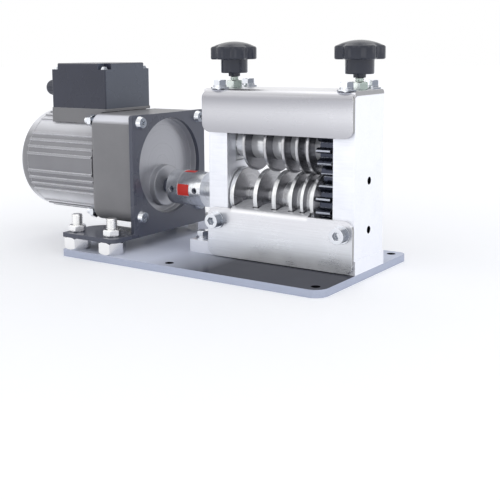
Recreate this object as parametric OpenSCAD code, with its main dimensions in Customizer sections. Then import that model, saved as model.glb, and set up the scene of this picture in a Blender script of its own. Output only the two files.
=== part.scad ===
// Electric wire stripping machine: a grooved feed roller and a row of round
// knives between two side plates, driven by a gear motor on the same base plate.
// Millimetres, +Z up. X runs along the shafts, Y from the feed side to the back.
// Origin: centre of the base plate's underside.

/* [Base plate] */
// Length of the base plate along the shafts
base_l = 210; // [204:1:240]
// Depth of the base plate, feed side to back
base_d = 120; // [116:1:150]
// Thickness of the base plate
base_t = 5; // [4:0.5:8]
// Corner radius of the base plate at the head's end
base_r = 9; // [3:0.5:12]
// Diameter of a bench fixing hole
fix_d = 5.5; // [4:0.1:7]
// Distance of a fixing hole from the plate's edges
fix_inset = 8; // [6:0.5:10]
// Distance of the left fixing holes to the left of the centre
fix_mid = 14; // [5:1:25]

/* [Stripping head] */
// Width of the head over both side plates
head_w = 110; // [104:1:116]
// Depth of a side plate
head_d = 40; // [39:0.5:46]
// Distance of the head's and motor's centre line behind the base's centre
head_y = 3; // [0:0.5:6]
// Distance of the right side plate from the end of the base plate
head_inset = 1; // [0.5:0.5:4]
// Thickness of a side plate
plate_t = 15; // [14:0.5:18]
// Height of a side plate
plate_h = 102; // [100:1:110]
// Thickness of the block under the side plates
foot_t = 9; // [7:0.5:12]
// How far that block runs out to the left of the head
foot_out = 17.5; // [14:0.5:20]
// Height of the roller's axis over the base plate's top
roll_h = 41.5; // [40:0.5:44]

/* [Covers] */
// Thickness of the upper cover's sheet
hood_t = 3; // [2:0.5:4]
// Height of the upper cover's front flange, sheet included
hood_h = 29; // [26:0.5:31]
// How far the upper cover stands out over the left side plate
hood_out = 3.5; // [1:0.5:6]
// Outer radius of the bends and corners of the upper cover
hood_r = 6; // [4.5:0.5:8]
// Thickness of the lower cover's sheet
apron_t = 2.4; // [1.5:0.1:3]
// Height of the lower cover's flat front
apron_h = 33.4; // [31:0.2:34]
// Gap between the lower cover and the base plate
apron_gap = 0.6; // [0.4:0.1:1.5]
// Corner radius of the lower cover
apron_r = 6; // [3:0.5:8]
// How far the comb's top face passes below the roller's axis
comb_drop = 1.4; // [1:0.1:3]
// Slope of the comb, rising towards the roller
comb_a = 14; // [8:1:18]

/* [Roller and knives] */
// Length of the grooved part of the roller
roll_l = 64.4; // [60:0.2:66]
// Radius over the roller's ridges
ridge_r = 18.5; // [18:0.1:18.8]
// Radius of a knife
knife_r = 18.2; // [17.8:0.1:18.6]
// Thickness of a knife
knife_t = 2.4; // [1.5:0.1:2.6]
// Radius of the spacers between the knives
spacer_r = 10; // [8:0.5:12]
// Diameter of the shafts under the knives and the gears
shaft_d = 12; // [11.5:0.5:14]
// Diameter of the shaft ends in their bearings
journal_d = 10; // [8:0.5:11]

/* [Gears] */
// Module of the two gears
gear_m = 2.5; // [2.45:0.01:2.55]
// Number of teeth on each gear
gear_n = 14; // [14]
// Width of a gear
gear_w = 10; // [8:0.5:11]

/* [Knife height adjustment] */
// Width of the slots in which the bearing blocks slide
slot_w = 20; // [19:0.5:21]
// Depth of these slots into the side plates
slot_deep = 12; // [11:0.5:12.5]
// Height of a bearing block under the knife shaft's axis
block_low = 11; // [10:0.5:11.5]
// Height of a bearing block over the knife shaft's axis
block_high = 14; // [13:0.5:15]
// Outer radius of the bronze bush in a block
bush_r = 7; // [6.5:0.5:7.5]
// Diameter of the adjusting screws
adjust_d = 6; // [5:0.5:7]
// Overall height of the machine, to the top of the knobs
total_h = 150; // [148:0.5:156]
// Diameter of a star knob
knob_d = 32; // [28:0.5:34]
// Height of the rim of a star knob
knob_rim = 8.6; // [7:0.2:10]
// Height of a knob's domed top over its rim
knob_dome = 3.4; // [2:0.2:4]
// Diameter of a knob's hub
hub_d = 18.2; // [14:0.2:20]
// Height of a knob's hub
hub_h = 9.2; // [7:0.2:10]
// Number of lobes on a knob
lobes = 7; // [5:1:9]

/* [Coupling] */
// Diameter of the jaw coupling
coup_d = 25; // [22:0.5:27]
// Length of the jaw coupling
coup_l = 30; // [27:0.5:32]
// Gap between the coupling and the left side plate
coup_gap = 14.3; // [12:0.1:16]
// Length of gear shaft that shows between bracket and coupling
stub_l = 5.5; // [4:0.5:8]
// Angle that each arm of the coupling's insert takes
arm_a = 38; // [30:1:44]

/* [Motor bracket] */
// Thickness of the bracket's plate
brk_t = 3; // [2:0.5:4]
// How far the bracket's upright plate stands out on each side of the gearbox
brk_side = 3; // [1.5:0.5:5]
// Depth of each of the bracket's two feet
brk_foot_d = 40; // [34:1:44]
// Width of the rim between the bracket's round opening and the gearbox's sides
brk_rim = 3.8; // [3:0.1:5]
// Height of the spacer nuts under the feet
lift_h = 9; // [7:0.5:11]
// Size over the flats of the spacer nuts
lift_af = 17; // [14:0.5:17.5]
// Distance of the studs from the base plate's front and back edges
stud_inset = 9.5; // [9:0.5:11]

/* [Gear motor] */
// Width and height of the square gearbox
box_w = 77; // [76:0.5:80]
// Length of the gearbox
box_l = 40; // [35:1:50]
// Radius of the gearbox's long edges
box_r = 9; // [6:0.5:12]
// Distance of the four gearbox screws from the gearbox's sides
screw_in = 5.25; // [5:0.05:6.5]
// How far the gear shaft lies below the gearbox's centre
offset_z = 15; // [14:0.5:16]
// Diameter of the boss around the gear shaft
boss_d = 30; // [26:0.5:32]
// Depth of the round recess in the gearbox's face
recess = 5; // [3:0.5:7]
// Diameter of the motor over its ribs
motor_d = 78; // [74:0.5:80]
// Length of the ribbed motor housing
motor_l = 66; // [62:1:80]
// Length of the rounded end cap
cap_l = 11; // [9:0.5:14]

/* [Terminal box] */
// Length of the terminal box along the motor
tbox_l = 54.5; // [46:0.5:56]
// Width of the terminal box across the motor
tbox_w = 50; // [44:0.5:54]
// Height of the terminal box's cover
tbox_h = 33; // [26:0.5:36]
// Height of the cast seat under it over the motor and the gearbox
seat_up = 2; // [1:0.5:4]
// Outer diameter of the cable gland
gland_d = 12.5; // [10:0.5:15]

/* [Hidden] */
$fn = 64;

// Overrun of every cut past the face that it opens
over = 1;
// Radial play of a shaft in its bearing and of a screw in its thread
run = 0.05;
// Gap between pieces that move past each other
play = 0.3;
// Radial play of a screw in a clearance hole
loose = 0.3;

// Places along the shafts
x_right = base_l / 2 - head_inset;
x_left = x_right - head_w;
x_in_l = x_left + plate_t;
x_in_r = x_right - plate_t;
x_mid_l = x_left + plate_t / 2;
x_mid_r = x_right - plate_t / 2;
x_coup_r = x_left - coup_gap;
x_coup_l = x_coup_r - coup_l;
x_brk = x_coup_l - stub_l;
x_box = x_brk - brk_t;
x_motor = x_box - box_l;
x_cap = x_motor - motor_l;

// Heights
z_plate = base_t + foot_t;
z_top = z_plate + plate_h;
z_hood = z_top + hood_t;
hood_in = hood_r - hood_t;
z_roll = base_t + roll_h;
gear_pitch_r = gear_m * gear_n / 2;
z_knife = z_roll + 2 * gear_pitch_r;
z_motor = z_roll + offset_z;

// Front and back of the head
y_front = head_y - head_d / 2;
y_back = head_y + head_d / 2;

// Metric screws: M5, M6 and M8
m5_r = 2.5;
m6_r = 3;
m8_r = 4;
m5_af = 8;
m6_af = 10;
m8_af = 11;
m5_head = 3.5;
m6_nut = 5;
m8_nut = 5;
flat_washer_t = 1;
spring_washer_t = 1.2;
spring_washer_r = 4.4;
wide_washer_r = 6;
cap_head_r = 5;
cap_head_h = 6;
cap_socket_af = 5;
cap_socket_deep = 3;

// Roller: each ridge's left side and width as shares of the roller's length
ridge_shares = [0, 0.293, 0.519, 0.72, 0.853, 0.967];
rim_shares = [0.051, 0.047, 0.047, 0.036, 0.031, 0.033];
// Radius of each groove's floor, as shares of the ridge radius
floor_shares = [0.27, 0.3, 0.6, 0.7, 0.78];
// Width of each slightly sloping groove wall, as shares of the groove's width
wall_shares = [0.09, 0.1, 0.1, 0.13, 0.13];
roll_gap = 0.6;
x_roll = x_in_l + roll_gap;
function ridge_x(i) = x_roll + ridge_shares[i] * roll_l;
function rim_x(i) = ridge_x(i) + rim_shares[i] * roll_l;
function groove_mid(i) = (rim_x(i) + ridge_x(i + 1)) / 2;
function groove_w(i) = ridge_x(i + 1) - rim_x(i);
function floor_r(i) = floor_shares[i] * ridge_r;
grooves = len(floor_shares);
ridges = len(ridge_shares);

// Gears: place, and the shape of a stub tooth
gear_gap = 2.3;
x_gear = x_in_r - gear_gap - gear_w;
press_a = 20;
tip_share = 1;
root_share = 1.25;
slack_share = 0.06;
tooth_steps = 5;
gear_tip_r = gear_pitch_r + tip_share * gear_m;
gear_root_r = gear_pitch_r - root_share * gear_m;
gear_base_r = gear_pitch_r * cos(press_a);
gear_hub_r = 8.5;
tooth_a = 360 / gear_n;
// Roll angle of the involute at radius r, in degrees, and its polar angle
function roll_a(r) = sqrt(max(pow(r / gear_base_r, 2) - 1, 0)) * 180 / PI;
function inv_a(r) = roll_a(r) - atan(roll_a(r) * PI / 180);
half_tooth_a = tooth_a / 4 + inv_a(gear_pitch_r) - slack_share * tooth_a / 2;
function flank_r(i) = gear_base_r + (gear_tip_r - gear_base_r) * i / tooth_steps;
function half_a(r) = half_tooth_a - inv_a(r);
function polar(r, a) = [r * cos(a), r * sin(a)];

// Bearing blocks and what adjusts them
block_t = slot_deep - 2 * play;
x_block_l = x_in_l - play - block_t;
x_block_r = x_in_r + play;
block_gap = 0.5;
z_slot = z_knife - block_low - block_gap;
socket_deep = 5.5;
z_adjust = z_knife + block_high - socket_deep + play;
spring_r = 2.6;
spring_wire = 0.4;
spring_hole_r = 3.2;
spring_deep = 10;
spring_turns = 6;
bearing_r = 11;
bearing_w = 6;
bearing_race = 2.2;
z_rim = total_h - knob_dome;
z_hub = z_rim - knob_rim;
z_neck = z_hub - hub_h;
neck_h = 2.2;
neck_r = 4;
lobe_rise = 1.15;
lobe_steps = 14;
// Turn of each knob, so that its lobes lie as they happened to stop
knob_turn_l = 10;
knob_turn_r = -37;

// Comb of the lower cover: the bend's outer radius, and the bend's centre
comb_side = 3;
comb_air = 0.9;
comb_steps = 6;
comb_bend = 4;
y_bend = y_front - apron_t + comb_bend;
z_bend = z_roll + ((y_bend - head_y) * sin(comb_a) - comb_drop - comb_bend) / cos(comb_a);
// The same centre, measured back from the roller's axis along the comb
s_bend = (y_bend - head_y) * cos(comb_a) + (z_bend - z_roll) * sin(comb_a);
// How much shorter a finger is than its groove allows, as shares of the ridge radius
short_shares = [0, 0.18, 0, 0, 0];

// Screw spacings on the head
hood_bolt_y = 17;
apron_screw_z = 25.5;
side_screw_y = 12;
side_screw_deep = 12;
foot_bolt_y = 13;
foot_bolt_in = 6.5;
side_hole_z = 15.7;
side_hole_deep = 3.5;

// Bracket
x_foot = -base_l / 2;
foot_r = 5;
foot_r_back = 16;
shear_r = 1.5;
z_foot = base_t + lift_h;
brk_top = box_w / 2;
brk_w = box_w + 2 * brk_side;
brk_open_d = box_w - 2 * brk_rim;
screw_sq = box_w - 2 * screw_in;
brk_r = 2;
stud_up = 12.6;
stud_side = 6;
stud_face = 10.2;
pan_r = 4.7;
pan_h = 3.2;
slot_t = 1.1;
box_nut_h = 4;
box_screw_out = 7.5;
box_edge = 4;
boss_out = 1.8;

// Motor ribs: angles from the middle of each bare band
rib_shares = [0.11, 0.2, 0.29, 0.38];
rib_h = 1.2;
rib_w = 1.7;
quarter = 90;
cap_r = 8;
cap_step = 1;

// Terminal box
tbox_over = 3.8;
tbox_wall = 2;
tbox_r = 1.5;
tbox_drop = 4.5;
tbox_notch = 7;
tbox_top_r = 1;
tscrew_r = 2;
tscrew_head_r = 3;
tscrew_head_h = 2;
gland_base_l = 2.5;
gland_l = 12;
gland_hole_r = 3;
gland_low = 18.5;
gland_in = 10;
gland_ribs = 18;
dome_steps = 4;
z_seat = z_motor + max(box_w, motor_d) / 2 + seat_up;
z_flange = z_motor + box_w / 2 + play;
x_seat_l = x_motor + tbox_over - tbox_l;
block_in = 6;
tblock_h = 14;

// A cylinder along X, and one with a bore
module rod_x(x0, x1, r) {
    translate([x0, 0, 0])
        rotate([0, 90, 0])
            cylinder(h = x1 - x0, r = r);
}

module ring_x(x0, x1, r, bore) {
    difference() {
        rod_x(x0, x1, r);
        rod_x(x0 - over, x1 + over, bore);
    }
}

module ring_z(z0, h, r, bore) {
    translate([0, 0, z0])
        difference() {
            cylinder(h = h, r = r);
            translate([0, 0, -over])
                cylinder(h = h + 2 * over, r = bore);
        }
}

// A hexagonal prism, by its size over the flats
module hex(h, af) {
    cylinder(h = h, r = af / sqrt(3), $fn = 6);
}

// A flat outline with round corners, centred
module round_rect(w, h, r) {
    square([w - 2 * r, h], center = true);
    square([w, h - 2 * r], center = true);
    for (sx = [-1, 1], sy = [-1, 1])
        translate([sx * (w / 2 - r), sy * (h / 2 - r)])
            circle(r = r);
}

// A plate with round corners r whose top edge is rounded by f
module soft_plate(w, d, t, r, f) {
    module edge(l) {
        square([l - f, t]);
        square([l, t - f]);
        translate([l - f, t - f])
            circle(r = f);
    }
    linear_extrude(t - f)
        round_rect(w, d, r);
    for (sx = [-1, 1], sy = [-1, 1])
        translate([sx * (w / 2 - r), sy * (d / 2 - r), 0])
            rotate_extrude()
                intersection() {
                    edge(r);
                    square([r, t]);
                }
    for (m = [0, 1])
        mirror([m, 0, 0])
            translate([0, d / 2 - r, 0])
                rotate([90, 0, 0])
                    linear_extrude(d - 2 * r)
                        edge(w / 2);
    for (m = [0, 1])
        mirror([0, m, 0])
            rotate([90, 0, 90])
                translate([0, 0, r - w / 2])
                    linear_extrude(w - 2 * r)
                        edge(d / 2);
}

// The four places of a rectangular screw pattern
module at_corners(dx, dy) {
    for (sx = [-1, 1], sy = [-1, 1])
        translate([sx * dx, sy * dy, 0])
            children();
}

// A hexagon bolt standing on z = 0, with its shank below
module hex_bolt(shank) {
    translate([0, 0, flat_washer_t + spring_washer_t]) {
        intersection() {
            hex(m5_head, m5_af);
            cylinder(h = m5_head, r1 = m5_af, r2 = m5_af / 2);
        }
        translate([0, 0, -flat_washer_t - spring_washer_t - shank])
            cylinder(h = shank + flat_washer_t + spring_washer_t + m5_head / 2, r = m5_r);
    }
}

// Flat washer and split spring washer under a bolt head
module washer_pair(r) {
    ring_z(0, flat_washer_t, r, m5_r + loose);
    difference() {
        ring_z(flat_washer_t, spring_washer_t, spring_washer_r, m5_r + loose);
        translate([0, -spring_washer_t / 4, 0])
            cube([2 * r, spring_washer_t / 2, 2 * (flat_washer_t + spring_washer_t)]);
    }
}

module at_hood_bolts() {
    for (x = [x_mid_l, x_mid_r], s = [-1, 1])
        translate([x, head_y + s * hood_bolt_y, z_hood])
            children();
}

module at_apron_screws() {
    for (x = [x_mid_l, x_mid_r])
        translate([x, y_front - apron_t, base_t + apron_screw_z])
            rotate([90, 0, 0])
                children();
}

module at_foot_bolts() {
    for (s = [-1, 1])
        translate([x_left - foot_out + foot_bolt_in, head_y + s * foot_bolt_y, z_plate])
            children();
}

module at_side_screws() {
    for (x = [x_mid_l, x_mid_r], s = [-1, 1])
        translate([x, head_y + s * side_screw_y, 0])
            children();
}

module at_studs() {
    for (x = [x_foot + stud_side, x_brk - stud_face], s = [-1, 1])
        translate([x, s * (base_d / 2 - stud_inset), 0])
            children();
}

// Outline of the base plate: round at the head's end, sheared at the motor's end
module base_outline() {
    difference() {
        square([base_l, base_d], center = true);
        for (m = [0, 1])
            mirror([0, m]) {
                translate([-base_l / 2, -base_d / 2])
                    corner_cut(shear_r);
                translate([base_l / 2, -base_d / 2])
                    rotate(90)
                        corner_cut(base_r);
            }
    }
}

// Base plate and the block that carries the head
module base_plate() {
    color("#c9cdd6")
        difference() {
            linear_extrude(base_t)
                base_outline();
            for (x = [-fix_mid, base_l / 2 - fix_inset], s = [-1, 1])
                translate([x, s * (base_d / 2 - fix_inset), -over])
                    cylinder(h = base_t + 2 * over, d = fix_d);
            at_studs()
                translate([0, 0, -over])
                    cylinder(h = base_t + 2 * over, r = m8_r + run);
            at_side_screws()
                screw_hole();
            at_foot_bolts()
                translate([0, 0, -z_plate - over])
                    cylinder(h = base_t + 2 * over, r = m5_r + run);
        }
}

// Countersunk clearance hole for a screw put in from below
module screw_hole() {
    translate([0, 0, -over])
        cylinder(h = z_plate + 2 * over, r = m6_r + loose);
    translate([0, 0, -run])
        cylinder(h = m6_r + loose, r1 = 2 * m6_r + loose, r2 = m6_r + loose);
}

module head_base() {
    color("#d6d9e0")
        difference() {
            translate([x_left - foot_out, y_front, base_t])
                cube([x_right - x_left + foot_out, head_d, foot_t]);
            at_side_screws()
                translate([0, 0, base_t - over])
                    cylinder(h = foot_t + 2 * over, r = m6_r + loose);
            at_foot_bolts()
                translate([0, 0, -foot_t - over])
                    cylinder(h = foot_t + 2 * over, r = m5_r + loose);
        }
}

module side_plate_screws() {
    color("#b9bcc2")
        at_side_screws()
            difference() {
                union() {
                    cylinder(h = z_plate + side_screw_deep, r = m6_r);
                    cylinder(h = m6_r, r1 = 2 * m6_r, r2 = m6_r);
                }
                translate([0, 0, -over])
                    hex(over + m6_r / 2, m6_r * 4 / 3);
            }
}

module head_base_bolts() {
    color("#c8cacf")
        at_foot_bolts()
            hex_bolt(foot_t + base_t / 2);
}

module head_base_washers() {
    color("#d4d6da")
        at_foot_bolts()
            washer_pair(m5_af / 2 + flat_washer_t);
}

// One side plate: outer face at x = 0, inner face at x = plate_t
module side_plate(through) {
    difference() {
        translate([0, y_front, z_plate])
            cube([plate_t, head_d, plate_h]);
        translate([-over, y_front, z_top])
            rotate([90, 0, 90])
                linear_extrude(plate_t + 2 * over)
                    mirror([0, 1])
                        corner_cut(hood_in);
        translate([plate_t - slot_deep, head_y - slot_w / 2, z_slot])
            cube([slot_deep + over, slot_w, z_top - z_slot + over]);
        translate([plate_t / 2, head_y, z_slot - spring_deep])
            cylinder(h = spring_deep + over, r = spring_hole_r);
        translate([0, head_y, z_roll]) {
            rod_x(plate_t - bearing_w - play, plate_t + over, bearing_r + run);
            rod_x(through ? -over : plate_t / 4, plate_t, journal_d / 2 + 1.5 * over);
        }
        for (s = [-1, 1])
            translate([plate_t / 2, head_y + s * hood_bolt_y, z_top - slot_deep])
                cylinder(h = slot_deep + over, r = m5_r + run);
        translate([plate_t / 2, y_front - over, base_t + apron_screw_z])
            rotate([-90, 0, 0])
                cylinder(h = slot_deep + over, r = m6_r + run);
        for (s = [-1, 1])
            translate([plate_t / 2, head_y + s * side_screw_y, z_plate - over])
                cylinder(h = side_screw_deep + over, r = m6_r + run);
        if (!through)
            for (s = [-1, 1])
                translate([0, head_y, z_roll + s * side_hole_z])
                    rod_x(-over, side_hole_deep, m5_r);
    }
}

module left_side_plate() {
    color("#e4e6eb")
        translate([x_left, 0, 0])
            side_plate(true);
}

module right_side_plate() {
    color("#e4e6eb")
        translate([x_right, 0, 0])
            mirror([1, 0, 0])
                side_plate(false);
}

// Upper cover: a sheet folded over the head's top and front
module upper_cover() {
    y_face = y_front - hood_t;
    top_d = y_back - y_face;
    module fold() {
        difference() {
            union() {
                translate([y_face, z_hood - hood_h])
                    square([hood_t, hood_h - hood_r]);
                translate([y_face + hood_r, z_top])
                    square([top_d - hood_r - hood_t, hood_t]);
                translate([y_face + hood_r, z_hood - hood_r])
                    circle(r = hood_r);
                translate([y_back - hood_t, z_top])
                    circle(r = hood_t);
            }
            translate([y_front, z_hood - hood_h - over])
                square([top_d, hood_h - hood_r + over]);
            translate([y_face + hood_r, z_hood - hood_r])
                circle(r = hood_in);
            translate([y_face + hood_r, z_top - hood_r])
                square([top_d, hood_r]);
        }
    }
    w = x_right - x_left + hood_out;
    color("#b9bcc2")
        difference() {
            intersection() {
                translate([x_left - hood_out, 0, 0])
                    rotate([90, 0, 90])
                        linear_extrude(w)
                            fold();
                union() {
                    translate([x_left - hood_out, y_front, z_plate])
                        cube([w, head_d, plate_h]);
                    translate([x_left - hood_out + w / 2, 0, z_hood - hood_h / 2])
                        rotate([90, 0, 0])
                            linear_extrude(base_d, center = true)
                                round_rect(w, hood_h, hood_r);
                    translate([x_left - hood_out, y_front, z_top - over])
                        cube([w, head_d + over, hood_t + 2 * over]);
                }
            }
            at_hood_bolts()
                translate([0, 0, -hood_r])
                    cylinder(h = hood_r + over, r = m5_r + loose);
            for (x = [x_mid_l, x_mid_r])
                translate([x, head_y, z_top - over])
                    cylinder(h = hood_t + 2 * over, r = adjust_d / 2 + 2 * loose);
        }
}

module cover_bolts() {
    color("#c8cacf")
        at_hood_bolts()
            hex_bolt(hood_t + 2 * m5_af / 2 + over);
}

module cover_washers() {
    color("#d4d6da")
        at_hood_bolts()
            washer_pair(wide_washer_r);
}

// Outline of one comb finger, measured from the roller's axis along the comb:
// it fills the groove as far as the groove's floor lets it
module finger(i) {
    stop = -sqrt(pow(floor_r(i) + comb_air, 2) - pow(comb_drop, 2)) - short_shares[i] * ridge_r;
    root = -ridge_r - comb_air - over;
    function dist(s) = sqrt(pow(s, 2) + pow(comb_drop, 2));
    function rise(s) = min(max((dist(s) - floor_r(i)) / (ridge_r - floor_r(i)), 0), 1);
    function half(s) = groove_w(i) / 2 - wall_shares[i] * groove_w(i) * (1 - rise(s)) - comb_air;
    end = stop - half(stop);
    ss = [for (k = [0 : comb_steps]) root + (end - root) * k / comb_steps];
    translate([groove_mid(i), 0])
        polygon(concat(
            [for (s = ss) [-half(s), s]],
            [for (k = [1 : 2 * comb_steps - 1]) [0, end] + polar(half(end), 180 - k * 90 / comb_steps)],
            [for (k = [comb_steps : -1 : 0]) [half(ss[k]), ss[k]]]
        ));
}

// Lower cover: a flat front with a tab bent back into a comb under the roller
module lower_cover() {
    z0 = base_t + apron_gap;
    x0 = ridge_x(0) + comb_side;
    x1 = ridge_x(ridges - 1);
    tab = polar(-ridge_r - comb_air - s_bend, comb_a);
    bend = [for (k = [0 : comb_steps]) 180 - k * (90 - comb_a) / comb_steps];
    centre = [y_bend, z_bend];
    below = [y_bend, z_bend - comb_bend];
    outer = [for (a = bend) centre + polar(comb_bend, a)];
    inner = [for (a = bend) centre + polar(comb_bend - apron_t, a)];
    color("#c3c6cc") {
        difference() {
            translate([(x_left + x_right) / 2, y_front, z0 + apron_h / 2])
                rotate([90, 0, 0])
                    linear_extrude(apron_t)
                        round_rect(x_right - x_left, apron_h, apron_r);
            translate([x0, y_front - apron_t - over, z_bend])
                cube([x1 - x0, apron_t + 2 * over, apron_h]);
            at_apron_screws()
                translate([0, 0, -apron_t - over])
                    cylinder(h = apron_t + 2 * over, r = m6_r + loose);
        }
        translate([x0, 0, 0])
            rotate([90, 0, 90])
                linear_extrude(x1 - x0)
                    polygon(concat(
                        [below + polar(comb_bend, 180)],
                        outer,
                        [outer[comb_steps] + tab, inner[comb_steps] + tab],
                        [for (k = [comb_steps : -1 : 0]) inner[k]],
                        [below + polar(comb_bend - apron_t, 180)]
                    ));
        translate([0, head_y, z_roll])
            rotate([comb_a, 0, 0])
                translate([0, 0, -comb_drop - apron_t])
                    linear_extrude(apron_t)
                        for (i = [0 : grooves - 1])
                            finger(i);
    }
}

module lower_cover_screws() {
    color("#c8cacf")
        at_apron_screws()
            difference() {
                union() {
                    translate([0, 0, -apron_t - slot_deep + over])
                        cylinder(h = slot_deep + apron_t + flat_washer_t, r = m6_r);
                    translate([0, 0, flat_washer_t])
                        cylinder(h = cap_head_h, r = cap_head_r);
                }
                translate([0, 0, flat_washer_t + cap_head_h - cap_socket_deep])
                    hex(cap_socket_deep + over, cap_socket_af);
            }
}

module lower_cover_washers() {
    color("#d4d6da")
        at_apron_screws()
            ring_z(0, flat_washer_t, wide_washer_r, m6_r + loose);
}

// Ball bearing as one ring, with a groove between its races
module bearing(x0) {
    difference() {
        rod_x(x0, x0 + bearing_w, bearing_r);
        rod_x(x0 - over, x0 + bearing_w + over, journal_d / 2 + run);
        for (x = [x0 - over, x0 + bearing_w - play])
            ring_x(x, x + over + play, bearing_r - bearing_race, journal_d / 2 + bearing_race);
    }
}

module roller_bearings() {
    color("#a9abb0")
        translate([0, head_y, z_roll]) {
            bearing(x_in_l - bearing_w - play / 2);
            bearing(x_in_r + play / 2);
        }
}

// Roller with its grooves and both shaft ends, turned in one piece
module grooved_roller() {
    j = journal_d / 2;
    x_end = x_coup_r - coup_l / 3;
    x_hub = x_gear;
    x_shaft = x_in_r - play;
    body = [for (i = [0 : ridges - 1]) each [
        [ridge_r, ridge_x(i)],
        [ridge_r, rim_x(i)],
        if (i < grooves) [floor_r(i), rim_x(i) + wall_shares[i] * groove_w(i)],
        if (i < grooves) [floor_r(i), ridge_x(i + 1) - wall_shares[i] * groove_w(i)]
    ]];
    color("#b4b7bb")
        translate([0, head_y, z_roll])
            rotate([0, 90, 0])
                rotate_extrude()
                    polygon(concat(
                        [[0, x_end], [j, x_end], [j, x_roll]],
                        body,
                        [[gear_root_r, x_hub], [shaft_d / 2, x_hub], [shaft_d / 2, x_shaft],
                         [j, x_shaft], [j, x_in_r + bearing_w + play], [0, x_in_r + bearing_w + play]]
                    ));
}

// Spur gear outline with involute flanks, one tooth pointing along a
module gear_outline(a) {
    rs = [for (i = [0 : tooth_steps]) flank_r(i)];
    polygon([for (t = [0 : gear_n - 1]) let (c = a + t * tooth_a) each concat(
        [polar(gear_root_r, c - half_a(gear_base_r))],
        [for (r = rs) polar(r, c - half_a(r))],
        [for (i = [tooth_steps : -1 : 0]) polar(rs[i], c + half_a(rs[i]))],
        [polar(gear_root_r, c + half_a(gear_base_r))]
    )]);
}

// A gear on the shaft axis; the outline's first axis points up
module gear(a) {
    difference() {
        union() {
            translate([x_gear, 0, 0])
                rotate([0, -90, 0])
                    mirror([0, 0, 1])
                        linear_extrude(gear_w)
                            gear_outline(a);
            rod_x(x_gear, x_in_r - play, gear_hub_r);
        }
        rod_x(x_gear - over, x_in_r + over, shaft_d / 2);
    }
}

module lower_gear() {
    color("#3a3c42")
        translate([0, head_y, z_roll])
            gear(0);
}

module upper_gear() {
    color("#3a3c42")
        translate([0, head_y, z_knife])
            gear(180 + tooth_a / 2);
}

// Knife shaft with its knives and the spacers that hold them over the grooves
module knife_shaft() {
    j = journal_d / 2;
    xs = [x_block_l + play, x_in_l, x_in_r - play, x_block_r + block_t - play];
    color("#b4b7bb")
        translate([0, head_y, z_knife]) {
            rod_x(xs[0], xs[3], j);
            rod_x(xs[1], xs[2], shaft_d / 2);
        }
}

module knives() {
    chamfer = knife_t / 6;
    color("#9a9da2")
        translate([0, head_y, z_knife])
            for (i = [0 : grooves - 1])
                translate([groove_mid(i) - knife_t / 2, 0, 0])
                    rotate([0, 90, 0])
                        rotate_extrude()
                            polygon([
                                [shaft_d / 2, 0], [knife_r - chamfer, 0], [knife_r, chamfer],
                                [knife_r, knife_t - chamfer], [knife_r - chamfer, knife_t],
                                [shaft_d / 2, knife_t]
                            ]);
}

module knife_spacers() {
    h = knife_t / 2;
    color("#d9dbe0")
        translate([0, head_y, z_knife]) {
            ring_x(x_in_l, groove_mid(0) - h, spacer_r - play, shaft_d / 2);
            for (i = [0 : grooves - 2])
                ring_x(groove_mid(i) + h, groove_mid(i + 1) - h, spacer_r, shaft_d / 2);
            ring_x(groove_mid(grooves - 1) + h, x_gear, spacer_r, shaft_d / 2);
        }
}

// A bearing block, its left face at x, with a socket for the adjusting screw
module bearing_block(x, x_screw) {
    color("#8f9298")
        difference() {
            translate([x, head_y - slot_w / 2 + play, z_knife - block_low])
                cube([block_t, slot_w - 2 * play, block_low + block_high]);
            translate([0, head_y, z_knife])
                rod_x(x - over, x + block_t + over, bush_r);
            translate([x_screw, head_y, z_knife + block_high - socket_deep])
                cylinder(h = socket_deep + over, r = adjust_d / 2 + run);
        }
}

module left_bearing_block() {
    bearing_block(x_block_l, x_mid_l);
}

module right_bearing_block() {
    bearing_block(x_block_r, x_mid_r);
}

module block_bushes() {
    color("#b08d57")
        translate([0, head_y, z_knife])
            for (x = [x_block_l, x_block_r])
                ring_x(x, x + block_t, bush_r, journal_d / 2 + run);
}

// Coil spring under each block, drawn as one wire wound round
module lift_spring() {
    h = z_knife - block_low - (z_slot - spring_deep);
    steps = 10;
    sides = 6;
    n = spring_turns * steps;
    climb = h - 2 * spring_wire;
    function centre(k) = [
        (spring_r - spring_wire) * cos(360 * k / steps),
        (spring_r - spring_wire) * sin(360 * k / steps),
        spring_wire + climb * k / n
    ];
    pts = [for (k = [0 : n], s = [0 : sides - 1]) centre(k) + spring_wire * [
        cos(360 * s / sides) * cos(360 * k / steps),
        cos(360 * s / sides) * sin(360 * k / steps),
        sin(360 * s / sides)
    ]];
    ends = [[for (s = [0 : sides - 1]) s], [for (s = [sides - 1 : -1 : 0]) n * sides + s]];
    skin = [for (k = [0 : n - 1], s = [0 : sides - 1]) let (t = (s + 1) % sides) each [
        [k * sides + s, (k + 1) * sides + s, (k + 1) * sides + t],
        [k * sides + s, (k + 1) * sides + t, k * sides + t]
    ]];
    polyhedron(points = pts, faces = concat(ends, skin));
}

module lift_springs() {
    color("#8a8d92")
        for (x = [x_mid_l, x_mid_r])
            translate([x, head_y, z_slot - spring_deep])
                lift_spring();
}

module adjuster_nuts() {
    color("#c8cacf")
        for (x = [x_mid_l, x_mid_r])
            translate([x, head_y, z_hood])
                difference() {
                    hex(m6_nut, adjust_d * m6_af / (2 * m6_r));
                    translate([0, 0, -over])
                        cylinder(h = m6_nut + 2 * over, r = adjust_d / 2 + run);
                }
}

module adjusting_screw(x) {
    color("#c8cacf")
        translate([x, head_y, z_adjust])
            cylinder(h = z_hub - z_adjust, d = adjust_d);
}

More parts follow.
